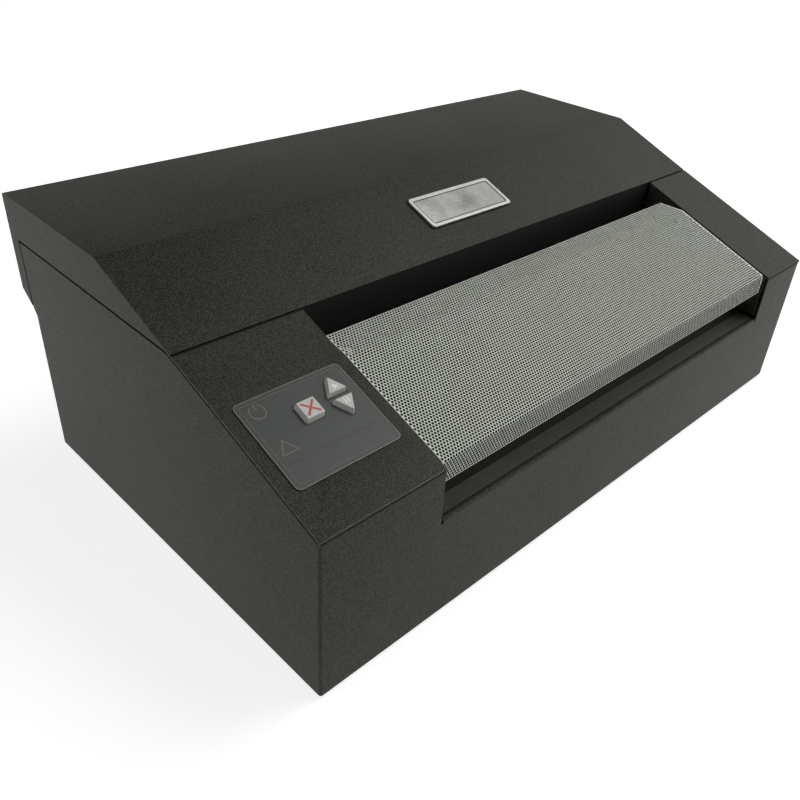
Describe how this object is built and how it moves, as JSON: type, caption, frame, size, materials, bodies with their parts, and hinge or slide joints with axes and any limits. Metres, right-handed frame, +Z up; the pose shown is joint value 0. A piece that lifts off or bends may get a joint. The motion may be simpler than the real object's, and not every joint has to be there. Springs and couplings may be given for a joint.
{
  "type": "braille embosser",
  "caption": "Desktop braille embosser for continuous paper: sloped sheet metal case, hinged lid, tilting perforated paper guide, button panel, tractor feed and embossing carriage.",
  "frame": {"origin": "on the surface it stands on, under the middle of its box", "axes": "+X to the machine's right seen from the front, +Y to its back, +Z up"},
  "size_m": [0.57, 0.346, 0.2087],
  "materials": {
    "cabinet_paint": "fine textured powder coat",
    "perforated_paint": "satin paint on perforated sheet",
    "plated_sheet": "zinc plated sheet",
    "ground_steel": "ground bar",
    "black_plastic": "moulded, fine grain",
    "black_rubber": "matt",
    "grey_resin": "moulded",
    "key_plastic": "moulded, satin",
    "overlay_film": "printed polyester film",
    "circuit_board": "solder mask",
    "badge_plating": "brushed plated plate",
    "bearing_brass": "sintered"
  },
  "bodies": {
    "base": {"base_wrap": "cabinet_paint", "base_pan": "cabinet_paint", "rear_panel": "cabinet_paint", "left_deck": "cabinet_paint", "right_deck": "cabinet_paint", "inlet_ramp": "cabinet_paint", "left_side_plate": "plated_sheet", "right_side_plate": "plated_sheet", "exit_guide": "plated_sheet", "idler_bracket": "plated_sheet", "power_supply": "plated_sheet", "hinge_brackets": "plated_sheet", "rear_screws": "plated_sheet", "front_guide_rod": "ground_steel", "rear_guide_rod": "ground_steel", "die_bar": "ground_steel", "support_rod": "ground_steel", "hinge_pins": "ground_steel", "data_sockets": "ground_steel", "feed_motor": "black_plastic", "carriage_motor": "black_plastic", "paper_sensor": "black_plastic", "power_inlet": "black_plastic", "switch_frame": "black_plastic", "feet": "black_rubber", "lid_bumpers": "black_rubber", "drive_belt": "black_rubber", "control_overlay": "overlay_film", "keypad_board": "circuit_board", "main_board": "circuit_board", "feed_bushes": "bearing_brass"},
    "lid": {"lid": "cabinet_paint", "badge_plate": "badge_plating", "lid_hinge_leaves": "plated_sheet"},
    "paper_guide": {"paper_guide": "perforated_paint"},
    "stop_button": {"stop_button": "key_plastic"},
    "start_button": {"start_button": "key_plastic"},
    "pause_button": {"pause_button": "key_plastic"},
    "carriage": {"emboss_carriage": "grey_resin", "carriage_bushes": "bearing_brass", "emboss_head": "black_plastic", "belt_clamp": "plated_sheet"},
    "punches": {"punches": "ground_steel"},
    "motor_pulley": {"motor_pulley": "plated_sheet"},
    "idler_pulley": {"idler_pulley": "plated_sheet"},
    "feed_shaft": {"feed_shaft": "ground_steel", "feed_gear": "grey_resin"},
    "feed_pinion": {"feed_pinion": "bearing_brass"},
    "left_tractor": {"left_tractor": "grey_resin", "left_pin_belt": "black_rubber"},
    "left_sprocket": {"left_sprocket": "key_plastic"},
    "left_gate": {"left_gate": "grey_resin"},
    "left_lock_lever": {"left_lock_lever": "key_plastic"},
    "right_tractor": {"right_tractor": "grey_resin", "right_pin_belt": "black_rubber"},
    "right_sprocket": {"right_sprocket": "key_plastic"},
    "right_gate": {"right_gate": "grey_resin"},
    "right_lock_lever": {"right_lock_lever": "key_plastic"},
    "power_rocker": {"power_rocker": "black_plastic"}
  },
  "joints": [
    {"name": "lid_hinge", "type": "hinge", "parent": "base", "child": "lid", "pos_m": [0, 0.1645, 0.129], "axis": [-1, 0, 0], "range_deg": [0, 90]},
    {"name": "guide_tilt", "type": "hinge", "parent": "base", "child": "paper_guide", "pos_m": [0, -0.083, 0.15115], "axis": [-1, 0, 0], "range_deg": [0, 60]},
    {"name": "stop_press", "type": "slide", "parent": "base", "child": "stop_button", "axis": [0, 0.3502, -0.9367], "range_m": [0, 0.001], "stiffness_N_per_m": 800},
    {"name": "start_press", "type": "slide", "parent": "base", "child": "start_button", "axis": [0, 0.3502, -0.9367], "range_m": [0, 0.001], "stiffness_N_per_m": 800},
    {"name": "pause_press", "type": "slide", "parent": "base", "child": "pause_button", "axis": [0, 0.3502, -0.9367], "range_m": [0, 0.001], "stiffness_N_per_m": 800},
    {"name": "carriage_slide", "type": "slide", "parent": "base", "child": "carriage", "axis": [1, 0, 0], "range_m": [-0.178, 0.178]},
    {"name": "punch_stroke", "type": "slide", "parent": "carriage", "child": "punches", "axis": [0, 0, -1], "range_m": [0, 0.0015], "stiffness_N_per_m": 1500},
    {"name": "motor_pulley_spin", "type": "hinge", "parent": "base", "child": "motor_pulley", "pos_m": [0.259, 0.105, 0.163], "axis": [0, 0, 1], "continuous": true},
    {"name": "idler_pulley_spin", "type": "hinge", "parent": "base", "child": "idler_pulley", "pos_m": [-0.225, 0.105, 0.163], "axis": [0, 0, 1], "continuous": true},
    {"name": "feed_spin", "type": "hinge", "parent": "base", "child": "feed_shaft", "pos_m": [0, 0.009, 0.125], "axis": [1, 0, 0], "continuous": true},
    {"name": "pinion_spin", "type": "hinge", "parent": "base", "child": "feed_pinion", "pos_m": [0.241, -0.031, 0.125], "axis": [1, 0, 0], "continuous": true},
    {"name": "left_tractor_slide", "type": "slide", "parent": "base", "child": "left_tractor", "axis": [1, 0, 0], "range_m": [0, 0.06]},
    {"name": "left_sprocket_spin", "type": "hinge", "parent": "left_tractor", "child": "left_sprocket", "pos_m": [-0.189, 0.009, 0.125], "axis": [1, 0, 0], "continuous": true},
    {"name": "left_gate_hinge", "type": "hinge", "parent": "left_tractor", "child": "left_gate", "pos_m": [-0.189, 0.009, 0.1422], "axis": [0, -1, 0], "range_deg": [0, 100]},
    {"name": "left_lock_turn", "type": "hinge", "parent": "left_tractor", "child": "left_lock_lever", "pos_m": [-0.189, -0.027, 0.125], "axis": [-1, 0, 0], "range_deg": [0, 60]},
    {"name": "right_tractor_slide", "type": "slide", "parent": "base", "child": "right_tractor", "axis": [1, 0, 0], "range_m": [-0.25, 0]},
    {"name": "right_sprocket_spin", "type": "hinge", "parent": "right_tractor", "child": "right_sprocket", "pos_m": [0.2205, 0.009, 0.125], "axis": [1, 0, 0], "continuous": true},
    {"name": "right_gate_hinge", "type": "hinge", "parent": "right_tractor", "child": "right_gate", "pos_m": [0.2205, 0.009, 0.1422], "axis": [0, 1, 0], "range_deg": [0, 100]},
    {"name": "right_lock_turn", "type": "hinge", "parent": "right_tractor", "child": "right_lock_lever", "pos_m": [0.2205, -0.027, 0.125], "axis": [-1, 0, 0], "range_deg": [0, 60]},
    {"name": "power_rocker_tilt", "type": "hinge", "parent": "base", "child": "power_rocker", "pos_m": [0.133, 0.1555, 0.049], "axis": [1, 0, 0], "range_deg": [0, 14]}
  ],
  "couplings": [
    {"joint": "motor_pulley_spin", "follows": "carriage_slide", "rad_per_m": 111.11},
    {"joint": "idler_pulley_spin", "follows": "carriage_slide", "rad_per_m": 111.11},
    {"joint": "pinion_spin", "follows": "feed_spin", "ratio": -3},
    {"joint": "left_sprocket_spin", "follows": "feed_spin", "ratio": 1},
    {"joint": "right_sprocket_spin", "follows": "feed_spin", "ratio": 1}
  ]
}
